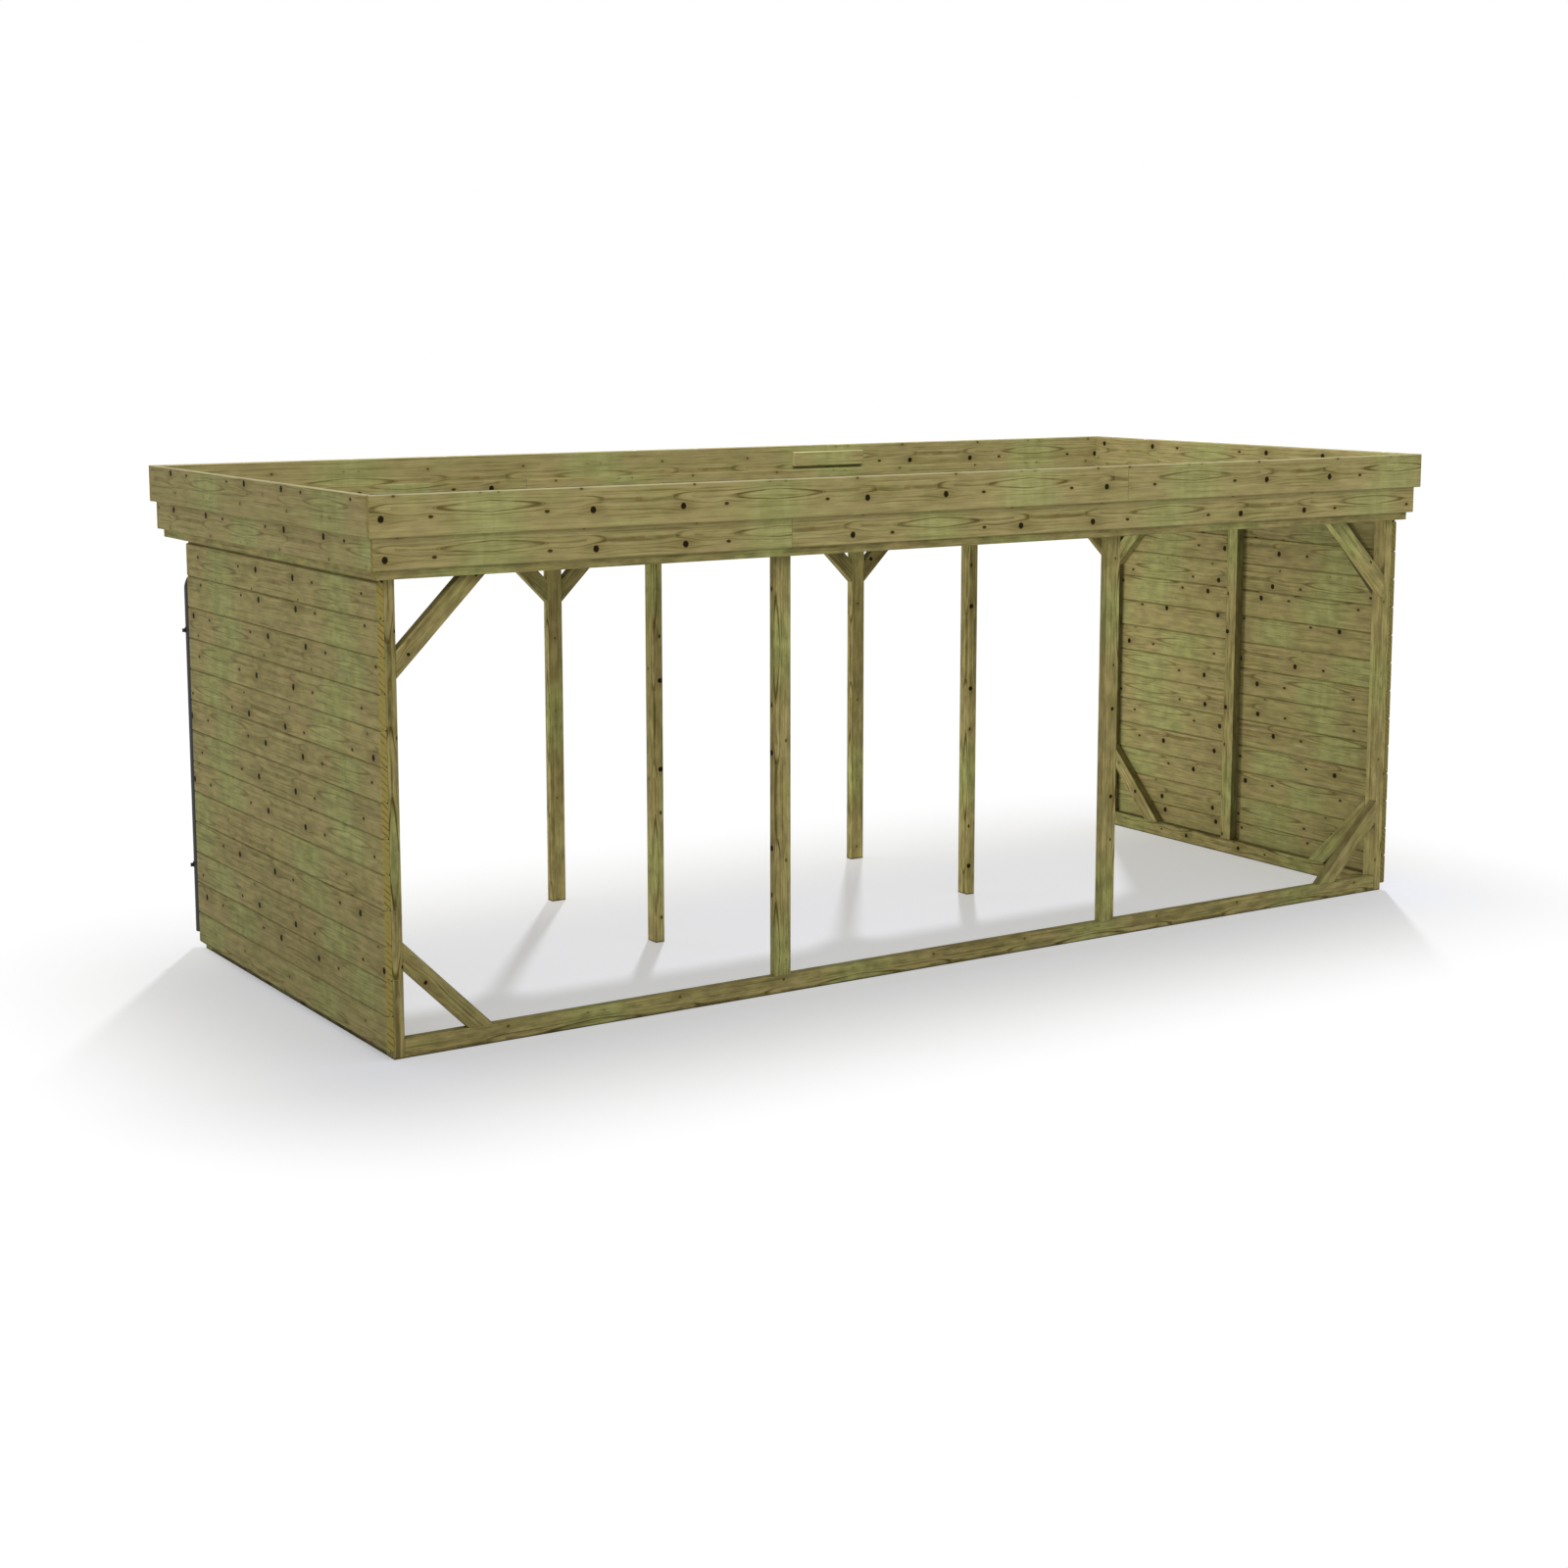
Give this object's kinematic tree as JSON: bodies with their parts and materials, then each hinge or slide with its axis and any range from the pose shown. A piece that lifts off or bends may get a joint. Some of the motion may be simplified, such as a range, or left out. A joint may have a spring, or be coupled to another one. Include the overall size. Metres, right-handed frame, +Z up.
{
  "type": "open firewood shelter",
  "caption": "Flat-roofed open timber shelter for firewood: boarded short sides, open long sides, post rows with knee braces, stepped fascia and a downpipe.",
  "frame": {"origin": "on the ground, in the middle of the roof's outline", "axes": "+X along the front from the left side wall to the right one, +Y from the front to the back, +Z up"},
  "size_m": [5.478, 2.423, 2.16],
  "materials": {
    "frame_timber": "sawn and planed softwood, green-brown pressure treated, dry",
    "wall_boards": "planed tongued and grooved softwood boards, green-brown pressure treated",
    "fascia_boards": "planed softwood boards, green-brown pressure treated",
    "roof_boards": "planed softwood boards, pressure treated",
    "roofing_sheet": "matt black roofing rubber",
    "drain_plastic": "anthracite, satin"
  },
  "bodies": {
    "root": {"corner_post_front_left": "frame_timber", "corner_post_front_right": "frame_timber", "corner_post_back_left": "frame_timber", "corner_post_back_right": "frame_timber", "front_post_left": "frame_timber", "front_post_right": "frame_timber", "middle_post_left": "frame_timber", "middle_post_right": "frame_timber", "back_post_left": "frame_timber", "back_post_right": "frame_timber", "left_wall_stud": "frame_timber", "right_wall_stud": "frame_timber", "front_sill": "frame_timber", "left_wall_sill": "frame_timber", "right_wall_sill": "frame_timber", "left_wall_plate": "frame_timber", "right_wall_plate": "frame_timber", "front_beam": "frame_timber", "middle_beam": "frame_timber", "back_beam": "frame_timber", "front_braces": "frame_timber", "wall_braces": "frame_timber", "back_braces": "frame_timber", "rim_board_front": "frame_timber", "rim_board_back": "frame_timber", "rim_board_left": "frame_timber", "rim_board_right": "frame_timber", "rafters": "frame_timber", "left_wall_boarding": "wall_boards", "right_wall_boarding": "wall_boards", "lower_fascia_front": "fascia_boards", "lower_fascia_back": "fascia_boards", "lower_fascia_left": "fascia_boards", "lower_fascia_right": "fascia_boards", "upper_fascia_front": "fascia_boards", "upper_fascia_back": "fascia_boards", "upper_fascia_left": "fascia_boards", "upper_fascia_right": "fascia_boards", "fascia_splice_plate": "fascia_boards", "roof_deck": "roof_boards", "roofing_sheet": "roofing_sheet", "roof_outlet": "drain_plastic", "downpipe_bends": "drain_plastic", "downpipe": "drain_plastic", "pipe_clips": "drain_plastic"}
  },
  "joints": []
}
